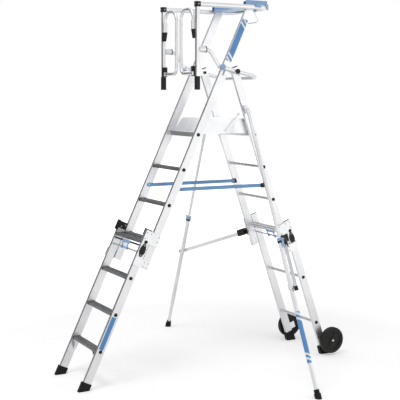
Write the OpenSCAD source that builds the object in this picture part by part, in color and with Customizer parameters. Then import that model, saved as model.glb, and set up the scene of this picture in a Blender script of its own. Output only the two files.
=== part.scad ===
// Mobile telescopic platform ladder with guard cage, gates and outriggers.
// Millimetres, +Z up, +X from the climbing side to the wheels, climber's left is +Y.
// The origin lies on the floor, under the middle of the whole ladder.

/* [Stance] */
// Length on the floor, from the front feet to the back of the wheels
length = 2314; // [2280:1:2350]
// Slope of the climbing ladder from the floor
front_slope = 64.8; // [63.5:0.1:66]
// Distance of the pivot behind the climbing ladder's stiles
pivot_reach = 54.2; // [50:0.1:58]
// Height of the pivot that joins the two ladders
pivot_z = 2310; // [2290:1:2325]
// Angle by which the rear ladder closes
fold_angle = 32; // [10:1:32]

/* [Stiles] */
// Depth of a stile, across the ladder's plane
stile_depth = 60; // [56:1:62]
// Width of a stile's edge
stile_flange = 25; // [22:1:28]
// Wall of a stile
stile_wall = 2; // [1.5:0.1:3]
// Half of the outer width of the front upper section
front_half = 246; // [240:1:250]
// Half of the outer width of the rear upper section
rear_half = 254; // [252:1:258]
// How much wider each lower section is, on each side
section_step = 4.5; // [4.5:0.1:6]
// Gap between the planes of the two sections
section_gap = 6; // [5:0.5:8]
// Height of the bottom end of the upper sections
joint_low_z = 868; // [850:1:880]
// Height of the top end of the front lower section
joint_high_z = 1120; // [1118:1:1160]
// Height of the top end of the rear lower section
rear_joint_high_z = 1106; // [1106:1:1160]
// Height of the front upper stiles' top above the middle of the top rail
stile_over = 12; // [8:1:14]

/* [Treads] */
// Height of the lowest tread's fixing above the floor
first_rise = 275; // [265:1:285]
// Rise from one tread to the next
rise = 260; // [255:1:265]
// Depth of a tread
tread_depth = 58; // [50:1:60]
// Thickness of a tread with its ribs
tread_thick = 22; // [18:1:24]
// Length of the black cap on each end of a tread
tread_cap = 12; // [8:1:20]
// Diameter of the rear rungs
rung_d = 25; // [22:1:26]
// Diameter of the plugs on the stiles
plug_d = 28; // [20:1:30]
// Height of a plug above the stile
plug_h = 4; // [2:0.5:4]

/* [Guard cage] */
// Height of the middle of the top rail
rail_z = 2795; // [2785:1:2805]
// Diameter of the top rail
rail_d = 36; // [34:1:38]
// Half of the distance between the middles of the top rail's arms
cage_half = 278; // [276:1:284]
// Distance of the gate posts' middle in front of the platform's hinge
post_setback = 28; // [24:1:32]
// Width of a gate post
post_w = 25; // [22:1:28]
// Height of the bottom of the posts' sleeves
post_low_z = 2170; // [2150:1:2200]
// From the top of the stiles to the middle of the top rail's cross tube
rail_reach = 155; // [152:1:162]
// Diameter of the middle rail
mid_d = 28; // [24:1:30]
// From the pivot to the middle of the middle rail's rear cross tube
mid_reach = 205; // [190:1:225]
// Diameter of a gate's tube
gate_d = 25; // [20:1:26]
// Height of the middle of a gate's lower tube
gate_low_z = 2291; // [2286:1:2300]
// Distance of a gate's upper tube below the top rail
gate_drop = 29; // [27:1:45]
// Angle to which a gate opens
gate_angle = 85; // [60:1:85]

/* [Platform] */
// Height of the platform's hinge
platform_z = 1835; // [1830:1:1840]
// Height of the toe boards above the platform's underside
toe_h = 116; // [90:1:120]
// Half of the platform's width
platform_half = 210; // [205:1:211]

/* [Outriggers] */
// Height of an outrigger's upper swivel
leg_top_z = 2020; // [2000:1:2040]
// Height of the swivel that carries the brace
brace_z = 990; // [985:1:995]
// Distance of a foot from the middle of the ladder
leg_reach = 1177; // [1100:1:1200]
// Place of a foot along X
leg_foot_x = 288; // [240:1:320]
// Diameter of the upper tube
leg_upper_d = 24; // [22:1:25]
// Diameter of the lower tube
leg_lower_d = 34; // [32:1:36]

/* [Wheels] */
// Diameter of a wheel
wheel_d = 216; // [200:1:220]
// Width of a wheel
wheel_w = 40; // [34:1:44]
// Height of a wheel above the floor while the ladder stands on its feet
wheel_lift = 16; // [8:1:22]

/* [Hidden] */
$fn = 48;
EPS = 0.01;          // overshoot of a cut
RUN = 0.05;          // radial clearance of a running fit
SEAT = 0.3;          // gap between pieces that rest against each other
half = length / 2;
sin_f = sin(front_slope);
cos_f = cos(front_slope);
section_pitch = stile_depth + section_gap;
foot_wall = 5.5;
toe_wall = 10;
foot_h = 45;
front_base = -half + (section_pitch + toe_wall) / sin_f;    // front upper face at the floor
function front_x(z, d) = front_base + z * cos_f / sin_f + d / sin_f;
wheel_x = half - wheel_d / 2;
wheel_z = wheel_d / 2 + wheel_lift;
wheel_setback = 54;                                          // wheel behind the lower stile's face
pivot_depth = 26;
pivot_x = front_x(pivot_z, stile_depth) + pivot_reach;
// The rear ladder leans from the pivot to the wheels
rear_run = wheel_x - wheel_setback - pivot_x;
rear_slope = atan2(pivot_z, rear_run) + asin((section_pitch - pivot_depth) / norm([rear_run, pivot_z]));
sin_r = sin(rear_slope);
cos_r = cos(rear_slope);
rear_base = wheel_x - wheel_setback - section_pitch / sin_r; // rear upper face at the floor
front_low_half = front_half + section_step;
rear_low_half = rear_half + section_step;
function rear_x(z, d) = rear_base - z * cos_r / sin_r + d / sin_r;
function front_s(z, d = 0) = (z + d * cos_f) / sin_f;        // along a front stile
function rear_s(z, d = 0) = (z - d * cos_r) / sin_r;         // along a rear stile
function tread_z(i) = first_rise + i * rise;
mid_depth = stile_depth / 2;
stile_top_z = rail_z + stile_over;
pivot_d = 12;
rear_top_s = rear_s(pivot_z, pivot_depth) + 28;
retract = 2 * rise;
rung_depth = 34;
rung_wall = 2;
hinge_x = front_x(platform_z, mid_depth);
post_x = hinge_x - post_setback;
saddle_x = front_x(rail_z, mid_depth);
rail_back_x = saddle_x + rail_reach;
mid_back_x = pivot_x + mid_reach;
gate_high_z = rail_z - gate_drop;
eye_z = [gate_low_z - 14, gate_low_z + 14];   // eyes at the gates' lower corners

ALUMINIUM = "gainsboro";
DARK = "dimgray";
BLACK = [0.12, 0.12, 0.13];
BLUE = "cornflowerblue";

// ---------- helpers ----------

// Local x is the depth from the outer face, local z runs up along the front stiles
module front_frame() translate([front_base, 0, 0]) rotate([0, 90 - front_slope, 0]) children();

// Local x is the depth from the inner face, local z runs up along the rear stiles
module rear_frame() translate([rear_base, 0, 0]) rotate([0, rear_slope - 90, 0]) children();

module on_left() children();
module on_right() mirror([0, 1, 0]) children();
module both_sides() { on_left() children(); on_right() children(); }

// A cylinder along Y from y0 to y1 about a point of the XZ plane
module y_cylinder(x, z, y0, y1, d) translate([x, y1, z]) rotate([90, 0, 0]) cylinder(d = d, h = y1 - y0);

// A shape drawn in the XZ plane, extruded from y0 to y1
module xz_plate(y0, y1) translate([0, y1, 0]) rotate([90, 0, 0]) linear_extrude(y1 - y0) children();

module ring(d, wall) difference() {
    circle(d = d);
    circle(d = d - 2 * wall);
}

// A straight tube of length h along local z
module pipe(d, wall, h) linear_extrude(h) ring(d, wall);

// A bend of a tube about local z, from angle 0 to a
module pipe_bend(d, wall, r, a) rotate_extrude(angle = a) translate([r, 0]) ring(d, wall);

function unit(v) = v / norm(v);
function turn(u, v) = atan2(u[0] * v[1] - u[1] * v[0], u * v);
function setback(p, i, r) = r * tan(abs(turn(p[i] - p[i - 1], p[i + 1] - p[i])) / 2);

// A tube bent in the XZ plane along the points p, r being the radius of each bend; wall 0 is solid.
// The straight parts reach over the ends of the bends, which are drawn a hair thinner.
LAP = 0.5;
THIN = 0.05;
module bent_pipe(p, r, y, d, wall) {
    last = len(p) - 1;
    for (i = [0 : last - 1]) {
        u = unit(p[i + 1] - p[i]);
        a = p[i] + u * (i == 0 ? 0 : setback(p, i, r) - LAP);
        b = p[i + 1] - u * (i == last - 1 ? 0 : setback(p, i + 1, r) - LAP);
        translate([a[0], y, a[1]]) rotate([0, atan2(u[0], u[1]), 0])
            linear_extrude(norm(b - a)) disc(d, wall);
    }
    for (i = [1 : last - 1]) {
        u = unit(p[i] - p[i - 1]);
        t = turn(u, p[i + 1] - p[i]);
        n = [-u[1], u[0]] * sign(t);
        c = p[i] - u * setback(p, i, r) + n * r;
        translate([c[0], y, c[1]]) rotate([90, 0, 0]) rotate([0, 0, atan2(-n[1], -n[0]) + min(t, 0)])
            thin_bend(d, wall, r, abs(t));
    }
}

module thin_bend(d, wall, r, a) rotate_extrude(angle = a) translate([r, 0]) difference() {
    circle(d = d - 2 * THIN);
    if (wall > 0) circle(d = d - 2 * wall + 2 * THIN);
}

module disc(d, wall) difference() {
    circle(d = d);
    if (wall > 0) circle(d = d - 2 * wall);
}

module box_tube(size_x, size_y, h, wall) linear_extrude(h) difference() {
    square([size_x, size_y]);
    translate([wall, wall]) square([size_x - 2 * wall, size_y - 2 * wall]);
}

module stile(outer, d0, s0, s1)
    translate([d0, outer - stile_flange, s0]) box_tube(stile_depth, stile_flange, s1 - s0, stile_wall);

module plug(x, z, y)
    translate([x, y, z]) rotate([-90, 0, 0]) cylinder(d1 = plug_d, d2 = plug_d - 3, h = plug_h);

// ---------- front ladder, upper section (the root) ----------

upper_treads_z = [tread_z(3), tread_z(4), tread_z(5)];
front_inner = front_half - stile_flange;
stud_d = 10;
bar_z = 1428;
bar_x = front_x(bar_z, 34);
bar_thick = 6;
bar_gap = 2;

module front_upper_stiles() color(ALUMINIUM)
    both_sides() front_frame() stile(front_half, 0, front_s(joint_low_z), front_s(stile_top_z));

rib_count = 11;
rib_h = 1.2;
function rib_points(w) = [for (i = [0 : rib_count - 1]) each
    [[w * i / rib_count, 0], [w * (i + 0.1) / rib_count, rib_h],
     [w * (i + 0.55) / rib_count, rib_h], [w * (i + 0.65) / rib_count, 0]]];

// Extruded tread with ribs on top, x from its front edge, z from its top
module tread_section() difference() {
    translate([0, -rib_h]) polygon(concat([[0, rib_h - tread_thick]], rib_points(tread_depth),
        [[tread_depth, 0], [tread_depth, rib_h - tread_thick]]));
    translate([2.5, 2.5 - tread_thick]) square([tread_depth - 5, tread_thick - rib_h - 5]);
}

tread_top = 12;      // top of a tread above its fixing
tread_inset = 1;     // front edge behind the stile's face
module tread(z, d0, inner) translate([front_x(z + tread_top, d0 + tread_inset), 0, z + tread_top])
    xz_plate(tread_cap - inner, inner - tread_cap) tread_section();

cap_margin = 1;
module tread_end_cap(z, d0, inner) translate([front_x(z + tread_top, d0 + tread_inset), 0, z + tread_top])
    xz_plate(inner - tread_cap, inner)
        translate([-cap_margin, -tread_thick - cap_margin])
            square([tread_depth + 2 * cap_margin, tread_thick + 2 * cap_margin]);

module upper_treads() color(DARK) for (z = upper_treads_z) tread(z, 0, front_inner);

module upper_tread_caps() color(BLACK) {
    for (z = upper_treads_z) both_sides() tread_end_cap(z, 0, front_inner);
    for (z = concat(upper_treads_z, [platform_z])) both_sides() plug(front_x(z, mid_depth), z, front_half);
}

bearer_d = 24;
module platform_bearer() color(ALUMINIUM)
    translate([hinge_x, front_inner, platform_z]) rotate([90, 0, 0]) pipe(bearer_d, 3, 2 * front_inner);

guide_t = 3;         // sheet of the guide brackets
guide_h = 64;
lip = 9;             // how far a lip reaches round a stile
play = 1;            // running clearance of the guides
wide_gap = section_step + plug_h + 0.5;   // an upper section's guide clears the plugs it passes
upper_guide_s = front_s(joint_low_z);

// Bracket at the foot of an upper stile that wraps round the lower stile.
// d_far is the lower stile's far face, seen from the upper stile.
module upper_guide(half_w, s0, lower_first) {
    d0 = lower_first ? -section_pitch - play - guide_t : 0;
    d1 = lower_first ? stile_depth : section_pitch + stile_depth + play + guide_t;
    y_in = half_w + wide_gap;
    lip_d = lower_first ? d0 : d1 - guide_t;
    translate([0, half_w, s0]) cube([stile_depth, wide_gap, guide_h]);
    translate([d0, y_in, s0]) cube([d1 - d0, guide_t, guide_h]);
    translate([lip_d, y_in - wide_gap - lip, s0]) cube([guide_t, wide_gap + lip, guide_h]);
}

// Bracket at the top of a lower stile that wraps round the upper stile
module lower_guide(half_w, s0, upper_first) {
    d0 = upper_first ? -play - guide_t : -section_pitch;
    d1 = upper_first ? section_pitch + stile_depth : stile_depth + play + guide_t;
    lip_d = upper_first ? d0 : d1 - guide_t;
    translate([d0, half_w, s0]) cube([d1 - d0, guide_t, 1.4 * guide_h]);
    translate([lip_d, half_w - section_step - lip, s0]) cube([guide_t, section_step + lip, 1.4 * guide_h]);
}

// Cut in a guide bracket round the plug of a tread or rung
module plug_hole(x, z, y) y_cylinder(x, z, y - 1, y + guide_t + 1, plug_d + 2 * play);

// Guides, and the studs on which the spreader bars turn
module front_upper_guides() color(ALUMINIUM) {
    both_sides() front_frame() upper_guide(front_half, upper_guide_s, true);
    both_sides() y_cylinder(bar_x, bar_z, front_inner - bar_gap - bar_thick - 1, front_inner, stud_d);
}

rail_wall = 2;
rail_r = 100;
connector = [36, 36, rail_d + 2];
rail_front_x = post_x + connector[0] / 2;
module top_rail() color(ALUMINIUM) {
    both_sides() {
        translate([rail_front_x, cage_half, rail_z]) rotate([0, 90, 0])
            pipe(rail_d, rail_wall, rail_back_x - rail_r - rail_front_x);
        translate([rail_back_x - rail_r, cage_half - rail_r, rail_z])
            pipe_bend(rail_d, rail_wall, rail_r, 90);
    }
    translate([rail_back_x, cage_half - rail_r, rail_z]) rotate([90, 0, 0])
        pipe(rail_d, rail_wall, 2 * (cage_half - rail_r));
}

sleeve_w = post_w + 6;
sleeve_h = eye_z[0] - 7 - post_low_z;        // ends below the gate's lower bracket
module gate_posts() color(ALUMINIUM) both_sides() {
    translate([post_x - post_w / 2, cage_half - post_w / 2, post_low_z + 20])
        box_tube(post_w, post_w, rail_z - connector[2] / 2 - post_low_z - 20, 2);
    // Clamp that holds the middle rail's front end
    translate([post_x + post_w / 2, cage_half, clamp_z]) rotate([0, 90, 0])
        cylinder(d = clamp_d, h = clamp_x1 - post_x - post_w / 2);
    // Saddle that bolts the rail to the stile
    translate([saddle_x - 22, front_half, rail_z - 16]) cube([44, cage_half - rail_d / 2 - front_half, 28]);
}

clamp_d = 46;
clamp_z = pivot_z + 158;
clamp_x1 = post_x + post_w / 2 + 52;
ring_t = 6;
module post_caps() color(BLACK) both_sides() {
    translate([post_x - connector[0] / 2, cage_half - connector[1] / 2, rail_z - connector[2] / 2])
        cube(connector);
    translate([post_x - sleeve_w / 2, cage_half - sleeve_w / 2, post_low_z]) difference() {
        cube([sleeve_w, sleeve_w, sleeve_h]);
        translate([3, 3, 20]) cube([post_w, post_w, sleeve_h]);
    }
    translate([clamp_x1, cage_half, clamp_z]) rotate([0, 90, 0]) cylinder(d = clamp_d + 3, h = ring_t);
}

mid_wall = 2;
mid_drop = 13;       // slope of the middle rail, downwards to the rear
mid_steep = 56;      // slope of its bent front part
mid_bend = 50;       // radius of the two bends near the front
mid_r = 90;          // radius of the bends at the rear
mid_x0 = clamp_x1 + ring_t;
mid_z0 = clamp_z - 6;
mid_x1 = mid_x0 + 34;
// Where the steep part meets the line through the pivot
kink_x = (mid_z0 + mid_x1 * tan(mid_steep) - pivot_z - pivot_x * tan(mid_drop))
    / (tan(mid_steep) - tan(mid_drop));
function mid_z(x) = pivot_z - (x - pivot_x) * tan(mid_drop);
mid_x2 = mid_back_x - mid_r * cos(mid_drop);

module mid_rail() color(ALUMINIUM) difference() {
    union() {
        both_sides() bent_pipe([[mid_x0, mid_z0], [mid_x1, mid_z0], [kink_x, mid_z(kink_x)],
            [mid_x2 + LAP, mid_z(mid_x2 + LAP)]], mid_bend, cage_half, mid_d, mid_wall);
        translate([mid_x2, 0, mid_z(mid_x2)]) rotate([0, mid_drop, 0]) {
            both_sides() translate([0, cage_half - mid_r, 0]) thin_bend(mid_d, mid_wall, mid_r, 90);
            translate([mid_r, cage_half - mid_r + LAP, 0]) rotate([90, 0, 0])
                pipe(mid_d, mid_wall, 2 * (cage_half - mid_r + LAP));
        }
    }
    both_sides() y_cylinder(pivot_x, pivot_z, cage_half - mid_d, cage_half + mid_d, pivot_d + 2 * RUN);
    both_sides() y_cylinder(knob_x, knob_z, cage_half - mid_d, cage_half + mid_d, knob_bolt_d + 2 * RUN);
}

knob_x = pivot_x - 134.5;
knob_z = mid_z(knob_x);
knob_d = 42;
knob_bolt_d = 10;
plate_t = 4;
pin_seat = rear_half + 1;                    // inner face of the outer pivot plates
// Plates on both faces of each front stile that carry the pivot, and the ear for the knob
module pivot_brackets() color(ALUMINIUM) both_sides() {
    difference() {
        union() {
            xz_plate(pin_seat, pin_seat + plate_t) pivot_plate_shape();
            xz_plate(front_half, pin_seat) pivot_spacer_shape();
            xz_plate(front_inner - plate_t, front_inner) pivot_plate_shape();
        }
        y_cylinder(pivot_x, pivot_z, front_inner - plate_t - 1, pin_seat + plate_t + 1, pivot_d + 2 * RUN);
    }
    difference() {
        union() {
            xz_plate(front_half, front_half + plate_t) knob_ear_shape();
            y_cylinder(knob_x, knob_z, front_half + plate_t, cage_half - mid_d / 2 - SEAT, 22);
        }
        y_cylinder(knob_x, knob_z, front_half - 1, cage_half, knob_bolt_d + 2 * RUN);
    }
}

// Strip of the front stile's side between two heights
function stile_strip(z0, z1, d0, d1) = [
    [front_x(z0, d0), z0], [front_x(z0, d1), z0], [front_x(z1, d1), z1], [front_x(z1, d0), z1]];

module pivot_plate_shape() difference() {
    union() {
        polygon(concat(stile_strip(pivot_z - 30, pivot_z + 30, stile_depth - 30, stile_depth)));
        polygon([[front_x(pivot_z - 30, stile_depth - 1), pivot_z - 30], [pivot_x, pivot_z - 20],
                 [pivot_x, pivot_z + 20], [front_x(pivot_z + 30, stile_depth - 1), pivot_z + 30]]);
        translate([pivot_x, pivot_z]) circle(d = 40);
    }
}
module pivot_spacer_shape() polygon(stile_strip(pivot_z - 28, pivot_z + 28, stile_depth - 28, stile_depth));
module knob_ear_shape() {
    polygon(concat([[knob_x, knob_z - 14], [front_x(knob_z - 22, 22), knob_z - 22]],
        [[front_x(knob_z + 22, 22), knob_z + 22], [knob_x, knob_z + 14]]));
    translate([knob_x, knob_z]) circle(d = 28);
}

pivot_cap_d = 38;
pivot_cap_h = 9;
module pivot_pins() color(BLACK) both_sides() {
    y_cylinder(pivot_x, pivot_z, front_inner - plate_t - 5, cage_half + mid_d / 2 + SEAT, pivot_d);
    y_cylinder(pivot_x, pivot_z, cage_half + mid_d / 2 + SEAT, cage_half + mid_d / 2 + pivot_cap_h, pivot_cap_d);
    y_cylinder(pivot_x, pivot_z, front_inner - plate_t - 9, front_inner - plate_t - 5 + EPS, 22);
}

tray_x0 = rail_back_x - 205;
tray_x1 = tray_x0 + 191;
tray_basin_x1 = tray_x0 + 135;
tray_wall = 3;
tray_floor_z = rail_z - 2;
tray_rim_z = rail_z + 53;
tray_half = front_inner - 4;                 // the basin hangs between the stiles
tray_seat_z = rail_z + rail_d / 2 + SEAT;
tray_rim_half = cage_half - rail_d / 2 - 5;  // the rim lies between the rails
hook_t = 7;
hook_x = tray_x0 + 60;
hook_len = 50;
bail_x = tray_x0 + 119;
bail_z = tray_floor_z - 15;
bail_y = [-212, -56];
bail_d = 6;
lug_t = 8;

// Claw at a rear corner that grips the bend of the top rail; rail_edge is the bend's outer radius
rail_edge = rail_r + rail_d / 2;
module tray_claw() translate([rail_back_x - rail_r, cage_half - rail_r, 0]) rotate([0, 0, 36])
    rotate_extrude(angle = 18) polygon([
        [rail_edge - 8, tray_seat_z], [rail_edge + 1.5, tray_seat_z], [rail_edge + 1.5, rail_z - 16],
        [rail_edge + 7, rail_z - 16], [rail_edge + 7, tray_seat_z + hook_t],
        [rail_edge - 8, tray_seat_z + hook_t]]);

module tool_tray() color(BLUE) {
    difference() {
        union() {
            translate([tray_x0, -tray_half, tray_floor_z])
                cube([tray_basin_x1 - tray_x0, 2 * tray_half, tray_rim_z - tray_floor_z]);
            translate([tray_x0, -tray_rim_half, tray_seat_z])
                cube([tray_x1 - tray_x0, 2 * tray_rim_half, tray_rim_z - tray_seat_z]);
            translate([tray_x0 - 1, -tray_rim_half, tray_floor_z])
                cube([4, 2 * tray_rim_half, tray_seat_z - tray_floor_z + 1]);
        }
        translate([tray_x0 + tray_wall, tray_wall - tray_half, tray_floor_z + tray_wall])
            cube([tray_basin_x1 - tray_x0 - 2 * tray_wall, 2 * (tray_half - tray_wall), tray_rim_z]);
        translate([tray_x0 + tray_wall, tray_wall - tray_rim_half, tray_seat_z + tray_wall])
            cube([tray_x1 - tray_x0 - 2 * tray_wall, 2 * (tray_rim_half - tray_wall), tray_rim_z]);
    }
    both_sides() {
        hook_out = cage_half + rail_d / 2 + SEAT;
        translate([hook_x, tray_rim_half - 1, tray_seat_z])
            cube([hook_len, hook_out + 5 - tray_rim_half, hook_t]);
        translate([hook_x, hook_out, rail_z - 4]) cube([hook_len, 4, tray_seat_z - rail_z + 4 + EPS]);
        tray_claw();
    }
    for (y = bail_y) difference() {
        translate([bail_x - 9, y + (y < -100 ? 6 : -6 - lug_t), tray_floor_z - 24]) cube([18, lug_t, 24 + EPS]);
        y_cylinder(bail_x, bail_z, y - 20, y + 20, bail_d + 1 + 2 * RUN);
    }
}

gate_axis_y = 232;
gate_x = post_x - 8;
gate_pin_d = 10;
knuckle_d = 34;
knuckle_z = [gate_high_z - 150, gate_high_z - 83];
wedge_z = knuckle_z[0] - 68;
eye_d = 26;
post_face = cage_half - post_w / 2;
// Brackets fixed to the posts: a tapered block with a pin above, and a fork with a pin below
module gate_brackets() color(BLACK) both_sides() {
    translate([gate_x + 13, 0, 0]) rotate([90, 0, -90]) linear_extrude(26) polygon([
        [-post_face, wedge_z], [-post_face, knuckle_z[0] - SEAT], [-gate_axis_y + 15, knuckle_z[0] - SEAT],
        [-gate_axis_y - 8, wedge_z]]);
    translate([gate_x, gate_axis_y, knuckle_z[0] - SEAT - EPS]) cylinder(d = gate_pin_d, h = 56);
    translate([gate_x - 13, gate_axis_y - 12, eye_z[1] + SEAT]) cube([26, post_face - gate_axis_y + 12, 40]);
    translate([gate_x - 13, post_face - 4, eye_z[0] - 6]) cube([26, 4, eye_z[1] - eye_z[0] + 8]);
    translate([gate_x - 13, gate_axis_y - 12, eye_z[0] - 6]) cube([26, post_face - gate_axis_y + 12, 6 - SEAT]);
    translate([gate_x, gate_axis_y, eye_z[0] - 3]) cylinder(d = gate_pin_d, h = eye_z[1] - eye_z[0] + 6);
}

gate_inner_y = 38;
gate_top_r = 80;
gate_bot_r = 50;
gate_wall = 2;
module gate_half() difference() {
    union() {
        translate([gate_x, gate_axis_y, knuckle_z[0]])
            cylinder(d = knuckle_d, h = knuckle_z[1] - knuckle_z[0]);
        translate([gate_x, gate_axis_y, knuckle_z[1]])
            pipe(gate_d, gate_wall, gate_high_z - gate_top_r - knuckle_z[1]);
        translate([gate_x, gate_axis_y - gate_top_r, gate_high_z - gate_top_r]) rotate([90, 0, 90])
            pipe_bend(gate_d, gate_wall, gate_top_r, 90);
        translate([gate_x, gate_inner_y + gate_top_r, gate_high_z]) rotate([-90, 0, 0])
            pipe(gate_d, gate_wall, gate_axis_y - gate_inner_y - 2 * gate_top_r);
        translate([gate_x, gate_inner_y + gate_top_r, gate_high_z - gate_top_r]) rotate([90, 0, 90])
            rotate([0, 0, 90]) pipe_bend(gate_d, gate_wall, gate_top_r, 90);
        translate([gate_x, gate_inner_y, gate_low_z + gate_bot_r])
            pipe(gate_d, gate_wall, gate_high_z - gate_top_r - gate_low_z - gate_bot_r);
        translate([gate_x, gate_inner_y + gate_bot_r, gate_low_z + gate_bot_r]) rotate([90, 0, 90])
            rotate([0, 0, 180]) pipe_bend(gate_d, gate_wall, gate_bot_r, 90);
        difference() {
            translate([gate_x, gate_inner_y + gate_bot_r, gate_low_z]) rotate([-90, 0, 0])
                pipe(gate_d, gate_wall, gate_axis_y - gate_inner_y - gate_bot_r);
            translate([gate_x, gate_axis_y, eye_z[0] - 1]) cylinder(d = eye_d - 1, h = 40);
        }
        translate([gate_x, gate_axis_y, eye_z[0]]) cylinder(d = eye_d, h = eye_z[1] - eye_z[0]);
    }
    translate([gate_x, gate_axis_y, eye_z[0] - 1]) cylinder(d = gate_pin_d + 2 * RUN, h = 40);
    translate([gate_x, gate_axis_y, knuckle_z[0] - 1]) cylinder(d = gate_pin_d + 2 * RUN, h = 60);
}
module gate_right() color(ALUMINIUM) on_right() gate_half();
module gate_left() color(ALUMINIUM) on_left() gate_half();

// ---------- front ladder, lower section ----------

low_treads_z = [for (i = [0 : 3]) tread_z(i)];
front_low_inner = front_low_half - stile_flange;
module front_lower_stiles() color(ALUMINIUM) both_sides() front_frame()
    stile(front_low_half, -section_pitch, front_s(foot_pad), front_s(joint_high_z));

module lower_treads() color(DARK) for (z = low_treads_z) tread(z, -section_pitch, front_low_inner);

module lower_tread_caps() color(BLACK) for (z = low_treads_z) both_sides() {
    tread_end_cap(z, -section_pitch, front_low_inner);
    plug(front_x(z, mid_depth - section_pitch), z, front_low_half);
}

// Flat diagonal stays under the lowest tread
brace_run = 70;
module tread_braces() both_sides() {
    z1 = tread_z(0) + tread_top - tread_thick - cap_margin;
    x0 = front_x(z1 - 20, mid_depth - section_pitch) - 12;
    translate([x0 + 24, 0, 0]) rotate([90, 0, -90]) linear_extrude(24) polygon([
        [-front_low_inner, z1 - brace_run], [-front_low_inner, z1 - brace_run - 6],
        [-front_low_inner + brace_run + 6, z1], [-front_low_inner + brace_run, z1]]);
}

foot_pad = 12;
foot_side = 4;
module foot_cut() translate([-2 * half, -2 * half, -200]) cube([4 * half, 4 * half, 200]);

module front_feet() color(BLACK) both_sides() difference() {
    front_frame() difference() {
        translate([-section_pitch - toe_wall, front_low_half - stile_flange - foot_side, -80])
            cube([stile_depth + toe_wall + foot_wall - 1, stile_flange + 2 * foot_side, 80 + foot_h]);
        translate([-section_pitch, front_low_half - stile_flange, front_s(foot_pad)])
            cube([stile_depth, stile_flange, 200]);
    }
    foot_cut();
}

lower_guide_s = front_s(joint_high_z) - 1.4 * guide_h - 6;
module front_lower_guides() color(ALUMINIUM) {
    both_sides() difference() {
        front_frame() lower_guide(front_low_half, lower_guide_s, false);
        plug_hole(front_x(tread_z(3), mid_depth - section_pitch), tread_z(3), front_low_half);
    }
    tread_braces();
}

rod_d = 14;
lock_rod_z = 1030;
release_rod_z = 984;
release_rod_d = 12;
release_travel = 12;
front_rod_depth = -section_pitch + 12;
// Black lock housings inside the top of the lower stiles, and diamond plates outside
lock_nose = 20;
module front_lock_plates() color(BLACK) {
    on_left() front_frame() translate([0, front_low_inner, front_s(tread_z(3) + 26)]) {
        translate([-section_pitch - lock_nose, -16, 0]) cube([lock_nose + 1, 16, 52]);
        translate([-section_pitch - lock_nose, -1, -22]) cube([lock_nose, 21, 78]);
    }
    both_sides() front_frame() {
        translate([-section_pitch, front_low_inner - 16, front_s(tread_z(3) + 26)]) cube([stile_depth, 16, 52]);
        diamond_plate(front_low_half, mid_depth - section_pitch,
            front_s(tread_z(3), mid_depth - section_pitch) - plug_d / 2 - 1 - diamond_half);
    }
}
diamond_half = 50;
diamond_w = 47;
module diamond_plate(y, d, s) translate([d, y, s]) rotate([-90, 0, 0]) linear_extrude(3)
    polygon([[-9, -diamond_half], [9, -diamond_half], [diamond_w / 2, -14], [diamond_w / 2, 14],
             [9, diamond_half], [-9, diamond_half], [-diamond_w / 2, 14], [-diamond_w / 2, -14]]);

module front_lock_rod() color(BLACK)
    y_cylinder(front_x(lock_rod_z, front_rod_depth), lock_rod_z, -front_low_inner, front_low_inner, rod_d);

// Blue squeeze handle: a grip before the fixed rod, joined by two arms to the sliding rod below it.
// Local x is the depth and local z runs along the stiles.
grip_w = 130;
grip_t = 5;
arm_w = 12;
module release_set(depth, s_lock, s_rel, inner) {
    grip_x = depth - rod_d / 2 - 1.5 - grip_t;
    translate([depth, SEAT - inner, s_rel]) rotate([-90, 0, 0]) cylinder(d = release_rod_d, h = 2 * (inner - SEAT));
    translate([grip_x, -grip_w / 2, s_lock - 16]) cube([grip_t, grip_w, 26]);
    for (y = [arm_w - grip_w / 2, grip_w / 2 - 2 * arm_w]) {
        translate([grip_x, y, s_rel - 12]) cube([grip_t, arm_w, s_lock - s_rel]);
        translate([grip_x, y, s_rel - 12]) cube([depth - grip_x, arm_w, 24]);
    }
}
module front_release_handle() color(BLUE) front_frame() release_set(front_rod_depth,
    front_s(lock_rod_z, front_rod_depth), front_s(release_rod_z, front_rod_depth), front_low_inner);

// ---------- rear ladder, upper section ----------

upper_rungs_z = [tread_z(3), tread_z(4), tread_z(5), platform_z - 10];
rear_inner = rear_half - stile_flange;
module rung(z, d, inner) translate([rear_x(z, d), inner, z]) rotate([90, 0, 0]) pipe(rung_d, rung_wall, 2 * inner);

module rear_upper_stiles() color(ALUMINIUM) both_sides() difference() {
    rear_frame() stile(rear_half, 0, rear_s(joint_low_z), rear_top_s);
    y_cylinder(pivot_x, pivot_z, rear_inner - 1, rear_half + 1, pivot_d + 2 * RUN);
}
module rear_upper_rungs() color(ALUMINIUM) for (z = upper_rungs_z) rung(z, rung_depth, rear_inner);
module rear_upper_plugs() color(BLACK) {
    both_sides() for (z = upper_rungs_z) plug(rear_x(z, rung_depth), z, rear_half);
    both_sides() rear_frame() translate([0, rear_inner, rear_top_s]) cube([stile_depth, stile_flange, 5]);
    spreader_catches();
    both_sides() {
        swivel_fork(brace_pin);
        swivel_base();
    }
}
rear_guide_s = rear_s(joint_low_z);
module rear_upper_guides() color(ALUMINIUM) both_sides() rear_frame() upper_guide(rear_half, rear_guide_s, false);

bar_len = rear_x(bar_z, 0) - bar_x - 13;
bar_h = 28;
bar_y0 = front_inner - bar_gap - bar_thick;
bar_y1 = front_inner - bar_gap;
catch_play = 1;
module spreader_catches() both_sides()
    xz_plate(bar_y1 + catch_play, rear_inner)
        polygon([[bar_x + bar_len - 8, bar_z - 18], [rear_x(bar_z - 18, 22), bar_z - 18],
                 [rear_x(bar_z + 18, 22), bar_z + 18], [bar_x + bar_len - 8, bar_z + 18]]);

// ---------- rear ladder, lower section ----------

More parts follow.
